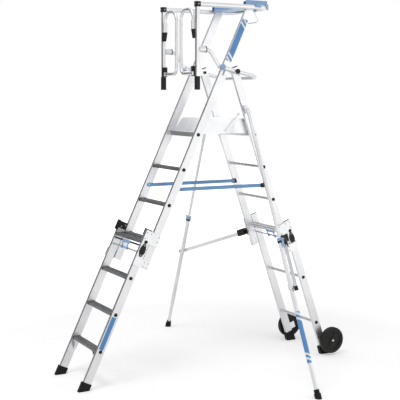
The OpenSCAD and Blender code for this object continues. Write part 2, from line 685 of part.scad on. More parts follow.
low_rungs_z = [for (i = [0 : 2]) tread_z(3) - 1.5 * rise * i];
rear_low_inner = rear_low_half - stile_flange;
module rear_lower_stiles() color(ALUMINIUM) both_sides() rear_frame()
    stile(rear_low_half, section_pitch, rear_s(foot_pad, section_pitch), rear_s(rear_joint_high_z));
module rear_lower_rungs() color(ALUMINIUM) for (z = low_rungs_z)
    rung(z, section_pitch + mid_depth, rear_low_inner);
module rear_lower_plugs() color(BLACK) both_sides() {
    for (z = low_rungs_z) plug(rear_x(z, section_pitch + mid_depth), z, rear_low_half);
    rear_frame() diamond_plate(rear_low_half, section_pitch + mid_depth,
        rear_s(low_rungs_z[0], section_pitch + mid_depth) - plug_d / 2 - 1 - diamond_half);
}
rear_low_guide_s = rear_s(rear_joint_high_z) - 1.4 * guide_h - 6;
module rear_lower_guides() color(ALUMINIUM) both_sides() difference() {
    rear_frame() lower_guide(rear_low_half, rear_low_guide_s, true);
    plug_hole(rear_x(tread_z(3), section_pitch + mid_depth), tread_z(3), rear_low_half);
}

sole_h = 48;
sole_toe = 12;
sole_side = 6;
module rear_feet() color(BLACK) both_sides() difference() {
    rear_frame() difference() {
        translate([section_pitch - sole_toe, rear_low_inner - sole_side, -80])
            cube([stile_depth + sole_toe + foot_wall, stile_flange + 2 * sole_side, 80 + sole_h]);
        translate([section_pitch, rear_low_inner, rear_s(foot_pad, section_pitch)])
            cube([stile_depth, stile_flange, 200]);
    }
    foot_cut();
}

axle_d = 16;
wheel_gap = 30;      // from the stile's outer face to the wheel
wheel_y = rear_low_half + wheel_gap;
bracket_t = 4;
axle_depth = (wheel_x - rear_base) * sin_r + wheel_z * cos_r;
axle_s = wheel_z * sin_r - (wheel_x - rear_base) * cos_r;
module wheel_brackets() color(ALUMINIUM) both_sides() {
    rear_frame() translate([section_pitch + 6, rear_low_half, max(sole_h + 2, axle_s - 28)])
        cube([axle_depth + 24 - section_pitch - 6, bracket_t, 56]);
    y_cylinder(wheel_x, wheel_z, rear_low_half + bracket_t, wheel_y - SEAT, 26);
    y_cylinder(wheel_x, wheel_z, wheel_y - SEAT - EPS, wheel_y + wheel_w + 4, axle_d);
}

rear_rod_depth = section_pitch + 12;
module rear_lock_rod() color(BLACK)
    y_cylinder(rear_x(lock_rod_z, rear_rod_depth), lock_rod_z, -rear_low_inner, rear_low_inner, rod_d);
module rear_release_handle() color(BLUE) rear_frame() release_set(rear_rod_depth,
    rear_s(lock_rod_z, rear_rod_depth), rear_s(release_rod_z, rear_rod_depth), rear_low_inner);

// ---------- wheels ----------

tyre_t = 24;
rim_r = wheel_d / 2 - tyre_t;
hub_r = 24;
web_t = wheel_w - 12;
recess_d = 40;
module wheel_profile() {
    translate([rim_r - 6, 0]) square([6, wheel_w]);
    translate([axle_d / 2 + RUN, 0]) square([hub_r - axle_d / 2, wheel_w]);
    translate([hub_r - 1, (wheel_w - web_t) / 2]) square([rim_r - hub_r - 4, web_t]);
}
module tyre_profile() {
    translate([rim_r, 1]) square([tyre_t - 6, wheel_w - 2]);
    translate([wheel_d / 2 - 7, 7]) square([7, wheel_w - 14]);
    for (y = [8, wheel_w - 8]) translate([wheel_d / 2 - 7, y]) circle(r = 7);
}
module wheel_solid() translate([wheel_x, wheel_y, wheel_z]) rotate([-90, 0, 0]) {
    difference() {
        rotate_extrude() wheel_profile();
        for (i = [0 : 2]) rotate([0, 0, 30 + i * 120])
            translate([(hub_r + rim_r) / 2 - 2, 0, wheel_w / 2 + web_t / 2 - 4]) cylinder(d = recess_d, h = wheel_w);
    }
    rotate_extrude() tyre_profile();
}
module wheel_right() color(BLACK) on_right() wheel_solid();
module wheel_left() color(BLACK) on_left() wheel_solid();

// ---------- platform, stays and spreader bars ----------

deck_top = 17;       // above the hinge
deck_low = upper_rungs_z[3] + rung_d / 2 + SEAT;
deck_end = rear_x(deck_low, rung_depth) + 14;
sheet = 3;
nose = 17;
rib_pitch = (deck_end - 26 - hinge_x - nose) / 5;
stay_pin = [hinge_x + 264, platform_z + 25];
stay_far = [rear_x(platform_z + 150, 0) - 28, platform_z + 150];
stay_pin_d = 8;
toe_front = hinge_x + 92;
toe_end = rear_x(deck_low, 0) + 8;
module toe_shape() difference() {
    polygon([[hinge_x + nose + 3, deck_low], [toe_front, deck_low + toe_h - 14], [toe_front + 20, deck_low + toe_h],
             [toe_end, deck_low + toe_h], [toe_end, deck_low]]);
}
module platform() color(ALUMINIUM) {
    difference() {
        union() {
            xz_plate(-platform_half, platform_half) translate([hinge_x - nose, platform_z - nose])
                square([2 * nose, nose + deck_top]);
            translate([hinge_x + nose - EPS, -platform_half, platform_z + deck_top - sheet])
                cube([deck_end - hinge_x - nose, 2 * platform_half, sheet]);
            translate([deck_end - 26, -platform_half, deck_low])
                cube([26, 2 * platform_half, platform_z + deck_top - deck_low]);
            for (i = [1 : 4]) translate([hinge_x + nose + i * rib_pitch, -platform_half, deck_low])
                cube([sheet, 2 * platform_half, platform_z + deck_top - deck_low]);
            both_sides() xz_plate(platform_half - sheet, platform_half) toe_shape();
        }
        y_cylinder(hinge_x, platform_z, -platform_half - 1, platform_half + 1, bearer_d + 2 * RUN);
    }
    both_sides() y_cylinder(stay_pin[0], stay_pin[1], platform_half, platform_half + 7, stay_pin_d);
}

stay_y = platform_half + 1.5;
stay_t = 4;
stay_w = 20;
module stay_half() difference() {
    xz_plate(stay_y, stay_y + stay_t) {
        for (p = [stay_pin, stay_far]) translate(p) circle(d = stay_w + 2);
        angle = atan2(stay_far[1] - stay_pin[1], stay_far[0] - stay_pin[0]);
        translate(stay_pin) rotate(angle) translate([0, 1 - stay_w / 2])
            square([norm(stay_far - stay_pin), stay_w - 2]);
    }
    y_cylinder(stay_pin[0], stay_pin[1], stay_y - 1, stay_y + stay_t + 1, stay_pin_d + 2 * RUN);
}
module platform_stay_right() color(ALUMINIUM) on_right() stay_half();
module platform_stay_left() color(ALUMINIUM) on_left() stay_half();

module bar_half() difference() {
    xz_plate(bar_y0, bar_y1) {
        translate([bar_x, bar_z]) circle(d = bar_h);
        translate([bar_x, bar_z - bar_h / 2]) square([bar_len, bar_h]);
        translate([bar_x + bar_len, bar_z]) circle(d = bar_h);
    }
    y_cylinder(bar_x, bar_z, bar_y0 - 1, bar_y1 + 1, stud_d + 2 * RUN);
}
module spreader_bar_right() color(BLUE) on_right() bar_half();
module spreader_bar_left() color(BLUE) on_left() bar_half();

// ---------- knobs and bail ----------

knob_h = 20;
module knob_half() {
    y0 = cage_half + mid_d / 2 + SEAT;
    difference() {
        y_cylinder(knob_x, knob_z, y0, y0 + knob_h, knob_d);
        for (i = [0 : 7]) translate([knob_x, y0 + knob_h + 1, knob_z]) rotate([90, i * 45, 0])
            translate([knob_d / 2 + 3, 0, 0]) cylinder(d = 12, h = knob_h + 2);
    }
    y_cylinder(knob_x, knob_z, front_half + 1, y0 + EPS, knob_bolt_d);
}
module knob_right() color(BLUE) on_right() knob_half();
module knob_left() color(BLUE) on_left() knob_half();

bail_points = [[0, 0], [-9, -14], [-9, -36], [18, -70], [6, -92]];
module bucket_bail() color(ALUMINIUM) {
    p = [for (q = bail_points) [bail_x + q[0], bail_z + q[1]]];
    for (y = bail_y) bent_pipe(p, 10, y, bail_d, 0);
    y_cylinder(bail_x, bail_z, bail_y[0] - bail_d / 2, bail_y[0] + 6 + lug_t + 4, bail_d + 1);
    y_cylinder(bail_x, bail_z, bail_y[1] - 6 - lug_t - 4, bail_y[1] + bail_d / 2, bail_d + 1);
    y_cylinder(p[4][0], p[4][1], bail_y[0] - bail_d / 2, bail_y[1] + bail_d / 2, bail_d + 1);
}

// ---------- outriggers ----------

swivel_gap = 20;     // from the rear stile's outer face to the swivel axis
swivel_depth = 15;   // of the swivel axis behind the stile's front face
leg_offset = 22;     // from the swivel axis to the top of the leg
leg_pin = [rear_x(leg_top_z, swivel_depth), rear_half + swivel_gap, leg_top_z];
brace_pin = [rear_x(brace_z, swivel_depth), rear_half + swivel_gap, brace_z];
leg_top = leg_pin + [0, leg_offset, 0];
leg_foot = [leg_foot_x, leg_reach, 0];
leg_len = norm(leg_foot - leg_top);
leg_dir = (leg_foot - leg_top) / leg_len;
clamp_at = 0.473 * leg_len;          // top of the lower tube
wide_end = 0.885 * leg_len;          // bottom of the wide part of the lower tube
leg_overlap = 130;                   // length of the upper tube inside the lower one
foot_tube_d = 28;
axis_dir = [cos_r, 0, -sin_r];       // down along the rear stile
swivel_d = 30;
swivel_pin_d = 12;
fork_t = 8;
knuckle_h = 44;
socket_d = 28;
socket_up = 12;
socket_down = 30;
collar_d = 44;
collar_h = 44;
collar_at = leg_top + leg_dir * 0.63 * leg_len;
brace_w = 25;                        // square tube of the brace
brace_wall = 2;
sleeve_side = 40;                    // clamp block at the brace's inner end
sleeve_a = 26;
sleeve_b = 92;
// The brace passes beside the leg and ends in a cap
brace_side = unit(cross(leg_dir, collar_at - brace_pin));
brace_far = collar_at + brace_side * (collar_d / 2 + brace_w / 2 - 1);
brace_len = norm(brace_far - brace_pin);
brace_dir = (brace_far - brace_pin) / brace_len;
brace_tilt = acos(brace_dir[2]);
brace_yaw = atan2(brace_dir[1], brace_dir[0]);
brace_roll = atan2(brace_side * [-sin(brace_yaw), cos(brace_yaw), 0],
    brace_side * [cos(brace_tilt) * cos(brace_yaw), cos(brace_tilt) * sin(brace_yaw), -sin(brace_tilt)]);
cap_end = 45;        // from the leg's axis to the outside of the brace's end cap
cap_w = brace_w + 4;

// Local z runs along the vector v from the point p
module along(p, v) translate(p) rotate([0, acos(v[2] / norm(v)), atan2(v[1], v[0])]) children();

// Forks bolted to the rear stiles with the pins on which the outriggers swing
module swivel_fork(p) {
    s = rear_s(p[2], swivel_depth);
    for (k = [-1, 1]) {
        at = s + k * (knuckle_h / 2 + SEAT + fork_t / 2);
        rear_frame() translate([swivel_depth, rear_half, at - fork_t / 2]) {
            translate([-swivel_d / 2, 0, 0]) cube([swivel_d, swivel_gap, fork_t]);
            translate([0, swivel_gap, 0]) cylinder(d = swivel_d, h = fork_t);
        }
    }
    rear_frame() translate([swivel_depth - swivel_d / 2, rear_half, s - knuckle_h / 2 - fork_t])
        cube([swivel_d, 3, knuckle_h + 2 * fork_t]);
    along(p - axis_dir * (knuckle_h / 2 + SEAT + fork_t + 3), axis_dir)
        cylinder(d = swivel_pin_d, h = knuckle_h + 2 * (SEAT + fork_t + 3));
}
module swivel_forks() color(ALUMINIUM) both_sides() swivel_fork(leg_pin);

// Black plate that carries the lower fork, behind it on the stile's outer face
base_t = 9;
module swivel_base() rear_frame()
    translate([swivel_depth + swivel_d / 2 - 1, rear_half, rear_s(brace_z, swivel_depth) - knuckle_h / 2 - fork_t])
        cube([stile_depth - swivel_depth - swivel_d / 2 + 5, base_t, knuckle_h + 2 * fork_t]);

module brace_frame(p) along(p, brace_dir) rotate([0, 0, brace_roll]) children();

// Upper tube with its knuckle and socket
module leg_upper_half() {
    difference() {
        union() {
            along(leg_pin - axis_dir * knuckle_h / 2, axis_dir) cylinder(d = swivel_d, h = knuckle_h);
            rear_frame() translate([swivel_depth - 8, rear_half + swivel_gap, rear_s(leg_top_z, swivel_depth) - 11])
                cube([16, leg_offset, 22]);
            along(leg_top - leg_dir * socket_up, leg_dir) cylinder(d = socket_d, h = socket_up + socket_down);
        }
        along(leg_pin - axis_dir * knuckle_h, axis_dir)
            cylinder(d = swivel_pin_d + 2 * RUN, h = 2 * knuckle_h);
    }
    along(leg_top + leg_dir * (socket_down - 2), leg_dir)
        pipe(leg_upper_d, 2, clamp_at + leg_overlap - socket_down + 2);
}

// Clamp with the lower knuckle, and the cap on the far end of the brace
module brace_ends_half() {
    difference() {
        union() {
            along(brace_pin - axis_dir * knuckle_h / 2, axis_dir) cylinder(d = swivel_d, h = knuckle_h);
            along(brace_pin, brace_dir) cylinder(d = 24, h = sleeve_a + 1);
            brace_frame(brace_pin) translate([-sleeve_side / 2, -sleeve_side / 2, sleeve_a])
                cube([sleeve_side, sleeve_side, sleeve_b - sleeve_a]);
        }
        along(brace_pin - axis_dir * knuckle_h, axis_dir)
            cylinder(d = swivel_pin_d + 2 * RUN, h = 2 * knuckle_h);
        brace_frame(brace_pin) translate([-brace_w / 2, -brace_w / 2, sleeve_a + 6])
            cube([brace_w, brace_w, sleeve_b]);
    }
    brace_frame(brace_far) difference() {
        translate([-cap_w / 2, -cap_w / 2, cap_end - 18]) cube([cap_w, cap_w, 18]);
        translate([-brace_w / 2, -brace_w / 2, cap_end - 30]) cube([brace_w, brace_w, 26]);
    }
}

module leg_lower_half() {
    bore = leg_upper_d + 2 * RUN;
    along(leg_top, leg_dir) difference() {
        union() {
            translate([0, 0, clamp_at]) cylinder(d = leg_lower_d, h = wide_end - clamp_at);
            translate([0, 0, wide_end - 1]) cylinder(d = foot_tube_d, h = leg_len - wide_end - 20);
        }
        translate([0, 0, clamp_at - 1]) cylinder(d = bore, h = leg_len);
    }
}

// Square brace with the collar in which the lower tube slides
module leg_brace_half() {
    brace_frame(brace_pin) translate([-brace_w / 2, -brace_w / 2, sleeve_a + 6])
        box_tube(brace_w, brace_w, brace_len + cap_end - sleeve_a - 10, brace_wall);
    difference() {
        along(collar_at - leg_dir * collar_h / 2, leg_dir) cylinder(d = collar_d, h = collar_h);
        along(leg_top, leg_dir) cylinder(d = leg_lower_d + 2 * RUN, h = leg_len);
    }
}

leg_clamp_d = 41;
clamp_up = 20;
clamp_down = 16;
lever_pin_d = 6;
lever_off = 29;      // from the leg's axis to the lever's pin
lever_up = 8;
module leg_clamp_half() {
    along(leg_top + leg_dir * clamp_at, leg_dir) {
        difference() {
            translate([0, 0, -clamp_up]) cylinder(d = leg_clamp_d, h = clamp_up + clamp_down);
            cylinder(d = leg_lower_d, h = 80);
            translate([0, 0, -clamp_up - 1]) cylinder(d = leg_upper_d + 2 * RUN, h = clamp_up + 10);
        }
        for (y = [-14, 8]) difference() {
            translate([-lever_off - 7, y, -lever_up - 9]) cube([lever_off - 7, 6, 16]);
            translate([-lever_off, y - 1, -lever_up]) rotate([-90, 0, 0]) cylinder(d = lever_pin_d, h = 8);
            cylinder(d = leg_clamp_d - 4, h = 60, center = true);
        }
        translate([-lever_off, -14, -lever_up]) rotate([-90, 0, 0]) cylinder(d = lever_pin_d, h = 28);
    }
}
module lever_half() along(leg_top + leg_dir * clamp_at, leg_dir) difference() {
    union() {
        translate([-lever_off, -8 + SEAT, -lever_up]) rotate([-90, 0, 0]) cylinder(d = 14, h = 16 - 2 * SEAT);
        translate([-lever_off - 6, -8 + SEAT, -lever_up]) cube([7, 16 - 2 * SEAT, 58]);
    }
    translate([-lever_off, -9, -lever_up]) rotate([-90, 0, 0]) cylinder(d = lever_pin_d + 2 * RUN, h = 18);
}

// Stepped rubber foot
module leg_rubber_half() {
    difference() {
        along(leg_top, leg_dir) difference() {
            union() {
                translate([0, 0, leg_len - 64]) cylinder(d = 40, h = 150);
                translate([0, 0, leg_len - 36]) cylinder(d = 50, h = 120);
            }
            cylinder(d = foot_tube_d, h = leg_len - 21);
        }
        foot_cut();
    }
}
module brace_ends_right() color(BLACK) on_right() brace_ends_half();
module brace_ends_left() color(BLACK) on_left() brace_ends_half();
module leg_upper_right() color(ALUMINIUM) on_right() leg_upper_half();
module leg_upper_left() color(ALUMINIUM) on_left() leg_upper_half();
module leg_lower_right() color(ALUMINIUM) on_right() leg_lower_half();
module leg_lower_left() color(ALUMINIUM) on_left() leg_lower_half();
module leg_clamp_right() color(BLUE) on_right() leg_clamp_half();
module leg_clamp_left() color(BLUE) on_left() leg_clamp_half();
module leg_foot_right() color(BLACK) on_right() leg_rubber_half();
module leg_foot_left() color(BLACK) on_left() leg_rubber_half();
module clamp_lever_right() color(BLUE) on_right() lever_half();
module clamp_lever_left() color(BLUE) on_left() lever_half();
module leg_brace_right() color(ALUMINIUM) on_right() leg_brace_half();
module leg_brace_left() color(ALUMINIUM) on_left() leg_brace_half();

// ---------- selection ----------

front_upper_stiles();
upper_treads();
upper_tread_caps();
platform_bearer();
front_upper_guides();
top_rail();
gate_posts();
post_caps();
mid_rail();
pivot_brackets();
pivot_pins();
tool_tray();
gate_brackets();
front_lower_stiles();
lower_treads();
lower_tread_caps();
front_feet();
front_lower_guides();
front_lock_plates();
front_lock_rod();
front_release_handle();
rear_upper_stiles();
rear_upper_rungs();
rear_upper_plugs();
rear_upper_guides();
swivel_forks();
rear_lower_stiles();
rear_lower_rungs();
rear_lower_plugs();
rear_lower_guides();
rear_feet();
wheel_brackets();
rear_lock_rod();
rear_release_handle();
wheel_right();
wheel_left();
gate_right();
gate_left();
platform();
platform_stay_right();
platform_stay_left();
spreader_bar_right();
spreader_bar_left();
knob_right();
knob_left();
bucket_bail();
brace_ends_right();
leg_upper_right();
leg_brace_right();
leg_lower_right();
leg_clamp_right();
leg_foot_right();
clamp_lever_right();
brace_ends_left();
leg_upper_left();
leg_brace_left();
leg_lower_left();
leg_clamp_left();
leg_foot_left();
clamp_lever_left();
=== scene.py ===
# %% [markdown]
# # A telescopic platform ladder
# A two-sided aluminium ladder with a guard cage, a folding platform, outriggers and wheels.
# The solid parts come ready made from a CAD file, so each is in its true place. Blender gives
# them their finishes, and adds what a solid model leaves out: screws, labels and trim.
# %% Start
import math

import bmesh
import bpy
from mathutils import Matrix, Vector


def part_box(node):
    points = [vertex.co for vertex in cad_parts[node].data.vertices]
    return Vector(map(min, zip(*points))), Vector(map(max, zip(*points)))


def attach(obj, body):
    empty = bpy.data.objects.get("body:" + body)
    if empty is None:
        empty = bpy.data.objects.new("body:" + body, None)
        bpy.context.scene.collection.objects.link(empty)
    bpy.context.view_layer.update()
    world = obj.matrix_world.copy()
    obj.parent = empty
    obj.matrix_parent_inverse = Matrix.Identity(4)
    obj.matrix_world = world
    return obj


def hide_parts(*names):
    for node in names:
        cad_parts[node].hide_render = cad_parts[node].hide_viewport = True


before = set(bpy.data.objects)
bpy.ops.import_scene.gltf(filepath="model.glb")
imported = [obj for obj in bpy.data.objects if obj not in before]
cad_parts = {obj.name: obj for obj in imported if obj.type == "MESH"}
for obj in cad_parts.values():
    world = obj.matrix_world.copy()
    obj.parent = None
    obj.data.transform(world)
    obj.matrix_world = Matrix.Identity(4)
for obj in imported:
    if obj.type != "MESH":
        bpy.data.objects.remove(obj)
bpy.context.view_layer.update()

# %% [markdown]
# ## Sizes that several steps share
# The two ladders lean at different slopes. A point on a stile is easiest to give by its distance
# along the stile and its depth behind the stile's front face, so two small helpers turn those
# into places in the room. All lengths are in metres.
# %% Slopes and helpers for places
FRONT_SLOPE = math.radians(64.8)
REAR_SLOPE = math.radians(70.499)
FRONT_BASE = -1.0730
REAR_BASE = 0.9250


def on_front(s, depth, y):
    """A point s along the climbing ladder, depth behind its upper stile's face."""
    sine, cosine = math.sin(FRONT_SLOPE), math.cos(FRONT_SLOPE)
    return Vector((FRONT_BASE + depth * sine + s * cosine, y, s * sine - depth * cosine))


def on_rear(s, depth, y):
    """A point s along the rear ladder, depth behind its upper stile's inner face."""
    sine, cosine = math.sin(REAR_SLOPE), math.cos(REAR_SLOPE)
    return Vector((REAR_BASE + depth * sine - s * cosine, y, s * sine + depth * cosine))


print("front stile at 1 m:", [round(v, 3) for v in on_front(1.0, 0.0, 0.0)])
print("rear stile at 1 m:", [round(v, 3) for v in on_rear(1.0, 0.0, 0.0)])

# %% [markdown]
# ## The camera
# A long lens from a few metres away keeps the uprights nearly parallel, as when it is seen from far off.
# The camera stands on the climber's right, turned toward the ladder and tipped slightly down.
# %% Camera
LENS, SENSOR = 83.9, 36
CAMERA_PLACE = (-3.538, -6.374, 2.133)
camera = bpy.data.cameras.new("camera")
camera.lens = LENS
camera.sensor_width = SENSOR
camera.clip_end = 100
camera_object = bpy.data.objects.new("camera", camera)
bpy.context.scene.collection.objects.link(camera_object)
YAW, PITCH, ROLL = math.radians(28.86), math.radians(6.44), math.radians(0.18)
camera_object.matrix_world = (
    Matrix.Translation(CAMERA_PLACE)
    @ Matrix.Rotation(-YAW, 4, "Z")
    @ Matrix.Rotation(math.pi / 2 - PITCH, 4, "X")
    @ Matrix.Rotation(ROLL, 4, "Z")
)
bpy.context.scene.camera = camera_object
print("camera at", tuple(round(v, 2) for v in camera_object.location))

# %% [markdown]
# ## Light and floor
# Satin aluminium shows what is around it more than its own colour. A white room with soft lamps
# gives the pale faces. A dark card behind the climber's left gives the thin grey line that runs
# down the front of each stile and tube, and makes them readable. The card shows only in
# reflections. The floor glows a little for the camera, so that it reads white and still keeps
# the soft shadow of the ladder.
# %% World
ROOM_LIGHT, WHITE_SEEN = 0.62, 1.0
world = bpy.data.worlds.new("studio")
bpy.context.scene.world = world
world.use_nodes = True
nodes, links = world.node_tree.nodes, world.node_tree.links
nodes.clear()


def seen_by_camera_or_gloss(tree):
    """1 where the camera, a reflection or a clear body looks, else 0."""
    rays = tree.nodes.new("ShaderNodeLightPath")
    seen = None
    for kind in ("Is Camera Ray", "Is Glossy Ray", "Is Transmission Ray"):
        if seen is None:
            seen = rays.outputs[kind]
            continue
        either = tree.nodes.new("ShaderNodeMath")
        either.operation = "MAXIMUM"
        tree.links.new(seen, either.inputs[0])
        tree.links.new(rays.outputs[kind], either.inputs[1])
        seen = either.outputs[0]
    return seen


world_out = nodes.new("ShaderNodeOutputWorld")
room = nodes.new("ShaderNodeBackground")
room.inputs["Color"].default_value = (1, 1, 1, 1)
room.inputs["Strength"].default_value = ROOM_LIGHT
white = nodes.new("ShaderNodeBackground")
white.inputs["Color"].default_value = (1, 1, 1, 1)
white.inputs["Strength"].default_value = WHITE_SEEN
pick = nodes.new("ShaderNodeMixShader")
links.new(seen_by_camera_or_gloss(world.node_tree), pick.inputs[0])
links.new(room.outputs[0], pick.inputs[1])
links.new(white.outputs[0], pick.inputs[2])
links.new(pick.outputs[0], world_out.inputs["Surface"])
bpy.context.scene.view_settings.view_transform = "Standard"
print("room light", ROOM_LIGHT)

# %% Plain sheets and finishes for the studio


def plain_sheet(name, corners):
    """A flat sheet through four corners."""
    mesh = bpy.data.meshes.new(name)
    mesh.from_pydata([Vector(c) for c in corners], [], [(0, 1, 2, 3)])
    sheet = bpy.data.objects.new(name, mesh)
    bpy.context.scene.collection.objects.link(sheet)
    return sheet


def plain_finish(name, colour, roughness):
    """A material with nothing but a colour, for the studio only."""
    material = bpy.data.materials.new(name)
    material.use_nodes = True
    shader = material.node_tree.nodes["Principled BSDF"]
    shader.inputs["Base Color"].default_value = (*colour, 1)
    shader.inputs["Roughness"].default_value = roughness
    return material


print("studio helpers:", plain_sheet.__name__, plain_finish.__name__)

# %% Floor paper
FLOOR_GLOW_NEAR, FLOOR_GLOW_FAR = 0.33, 0.97
GLOW_STARTS, GLOW_FULL = 2.0, 7.0


def floor_paper():
    """White paper that glows for the camera, a little near the ladder and fully far away."""
    material = plain_finish("floor paper", (0.80, 0.80, 0.80), 0.9)
    tree = material.node_tree
    shader = tree.nodes["Principled BSDF"]
    shader.inputs["Specular IOR Level"].default_value = 0.0
    place = tree.nodes.new("ShaderNodeTexCoord")
    away = tree.nodes.new("ShaderNodeVectorMath")
    away.operation = "LENGTH"
    tree.links.new(place.outputs["Object"], away.inputs[0])
    glow = tree.nodes.new("ShaderNodeMapRange")
    glow.inputs["From Min"].default_value = GLOW_STARTS
    glow.inputs["From Max"].default_value = GLOW_FULL
    glow.inputs["To Min"].default_value = FLOOR_GLOW_NEAR
    glow.inputs["To Max"].default_value = FLOOR_GLOW_FAR
    tree.links.new(away.outputs["Value"], glow.inputs["Value"])
    only_seen = tree.nodes.new("ShaderNodeMath")
    only_seen.operation = "MULTIPLY"
    tree.links.new(seen_by_camera_or_gloss(tree), only_seen.inputs[0])
    tree.links.new(glow.outputs["Result"], only_seen.inputs[1])
    lit = tree.nodes.new("ShaderNodeEmission")
    tree.links.new(only_seen.outputs[0], lit.inputs["Strength"])
    both = tree.nodes.new("ShaderNodeAddShader")
    tree.links.new(shader.outputs[0], both.inputs[0])
    tree.links.new(lit.outputs[0], both.inputs[1])
    tree.links.new(both.outputs[0], tree.nodes["Material Output"].inputs["Surface"])
    return material


FLOOR_PAPER = floor_paper()
print("floor glow from", FLOOR_GLOW_NEAR, "to", FLOOR_GLOW_FAR)

# %% Floor and card
FLOOR_HALF = 30
FLOOR_CORNERS = ((-1, -1), (1, -1), (1, 1), (-1, 1))
floor = plain_sheet("floor", [(x * FLOOR_HALF, y * FLOOR_HALF, 0) for x, y in FLOOR_CORNERS])
floor.data.materials.append(FLOOR_PAPER)
card = plain_sheet("dark card", [(-7.5, 5, -1), (-1.2, 5, -1), (-1.2, 5, 6.5), (-7.5, 5, 6.5)])
card.data.materials.append(plain_finish("card cloth", (0.02, 0.02, 0.02), 0.9))
card.visible_camera = False
card.visible_shadow = False
card.visible_diffuse = False
print("floor and card:", floor.dimensions[:2], card.dimensions[0])

# %% Lamps


def soft_lamp(name, place, aim, size, watts):
    """A square area lamp at a place, turned toward a point."""
    lamp = bpy.data.lights.new(name, "AREA")
    lamp.shape = "SQUARE"
    lamp.size = size
    lamp.energy = watts
    lamp_object = bpy.data.objects.new(name, lamp)
    bpy.context.scene.collection.objects.link(lamp_object)
    lamp_object.location = place
    lamp_object.rotation_euler = (Vector(aim) - Vector(place)).to_track_quat("-Z", "Y").to_euler()
    return lamp_object


soft_lamp("lamp above", (-3.6, -2.2, 9.5), (0, 0, 0.6), 3.6, 265)
soft_lamp("lamp right", (4.5, -5.5, 3.0), (0, 0, 0.8), 3.0, 30)

# %% [markdown]
# ## Satin aluminium
# Extruded aluminium has fine lines along the profile, left by the die, and a soft sheen. Noise
# stretched a hundred times along the profile gives those lines. It drives the roughness and a
# very small bump, and a second, broad noise shifts the tone a little, as handling does.
# %% Material helpers


def new_finish(name):
    """A material with its shader, ready for nodes."""
    material = bpy.data.materials.new(name)
    material.use_nodes = True
    tree = material.node_tree
    shader = tree.nodes["Principled BSDF"]
    return material, tree, shader


def noise_at(tree, stretch, turn=(0, 0, 0), detail=3.0, scale=1.0):
    """Noise on the part's own coordinates, stretched and turned."""
    place = tree.nodes.new("ShaderNodeTexCoord")
    mapping = tree.nodes.new("ShaderNodeMapping")
    mapping.inputs["Rotation"].default_value = turn
    mapping.inputs["Scale"].default_value = stretch
    noise = tree.nodes.new("ShaderNodeTexNoise")
    noise.inputs["Scale"].default_value = scale
    noise.inputs["Detail"].default_value = detail
    if any(turn):
        turned = tree.nodes.new("ShaderNodeMapping")
        turned.inputs["Rotation"].default_value = turn
        mapping.inputs["Rotation"].default_value = (0, 0, 0)
        tree.links.new(place.outputs["Object"], turned.inputs["Vector"])
        tree.links.new(turned.outputs["Vector"], mapping.inputs["Vector"])
    else:
        tree.links.new(place.outputs["Object"], mapping.inputs["Vector"])
    tree.links.new(mapping.outputs["Vector"], noise.inputs["Vector"])
    return noise.outputs["Fac"]


print("grain helpers ready")

# %% Helpers that turn noise into tone, roughness and relief


def spread(tree, value, low, high, from_low=0.3, from_high=0.7):
    """Turns a noise value into a number between low and high."""
    to_range = tree.nodes.new("ShaderNodeMapRange")
    to_range.inputs["From Min"].default_value = from_low
    to_range.inputs["From Max"].default_value = from_high
    to_range.inputs["To Min"].default_value = low
    to_range.inputs["To Max"].default_value = high
    tree.links.new(value, to_range.inputs["Value"])
    return to_range.outputs["Result"]


def two_tones(tree, value, dark, light):
    """Mixes two colours by a value."""
    ramp = tree.nodes.new("ShaderNodeValToRGB")
    ramp.color_ramp.elements[0].position = 0.3
    ramp.color_ramp.elements[1].position = 0.7
    ramp.color_ramp.elements[0].color = (*dark, 1)
    ramp.color_ramp.elements[1].color = (*light, 1)
    tree.links.new(value, ramp.inputs["Fac"])
    return ramp.outputs["Color"]


def raise_by(tree, shader, value, height, strength=0.4):
    """Adds a bump of that height, in metres, to a shader."""
    bump = tree.nodes.new("ShaderNodeBump")
    bump.inputs["Distance"].default_value = height
    bump.inputs["Strength"].default_value = strength
    tree.links.new(value, bump.inputs["Height"])
    tree.links.new(bump.outputs["Normal"], shader.inputs["Normal"])
    return bump


print("tone and relief helpers ready")

# %% Aluminium finishes


def satin_aluminium(name, turn=(0, 0, 0), stretch=(260, 260, 3),
                    dark=(0.66, 0.665, 0.68), light=(0.75, 0.755, 0.77)):
    """Extruded aluminium, its fine lines along the local Z after the turn."""
    material, tree, shader = new_finish(name)
    lines_of_die = noise_at(tree, stretch, turn)
    handling = noise_at(tree, (6, 6, 6), detail=5.0)
    tree.links.new(two_tones(tree, handling, dark, light), shader.inputs["Base Color"])
    tree.links.new(spread(tree, lines_of_die, 0.28, 0.42), shader.inputs["Roughness"])
    raise_by(tree, shader, lines_of_die, 0.0002, 0.25)
    shader.inputs["Metallic"].default_value = 0.85
    return material


front_turn = (0, -(math.pi / 2 - FRONT_SLOPE), 0)
rear_turn = (0, math.pi / 2 - REAR_SLOPE, 0)
ALUMINIUM_FRONT = satin_aluminium("satin aluminium front stiles", front_turn)
ALUMINIUM_REAR = satin_aluminium("satin aluminium rear stiles", rear_turn)
ALUMINIUM_TUBE = satin_aluminium("satin aluminium tube", stretch=(40, 40, 40))
ALUMINIUM_ACROSS = satin_aluminium("satin aluminium rungs", stretch=(240, 3, 240))
ALUMINIUM_PLATE = satin_aluminium("pressed aluminium plate", stretch=(70, 70, 70),
                                  dark=(0.70, 0.705, 0.72), light=(0.80, 0.805, 0.82))
print("aluminium finishes ready")

# %% [markdown]
# ## Dark treads, black plastic, rubber and blue plastic
# The treads are the same metal with a dark coating, worn brighter in random patches. Moulded
# plastic has a fine grain, rubber is duller and dustier, and the blue parts are smooth.
# %% Coated treads and mouldings
COATING_DARK, COATING_RUBBED = (0.13, 0.135, 0.14), (0.22, 0.222, 0.23)


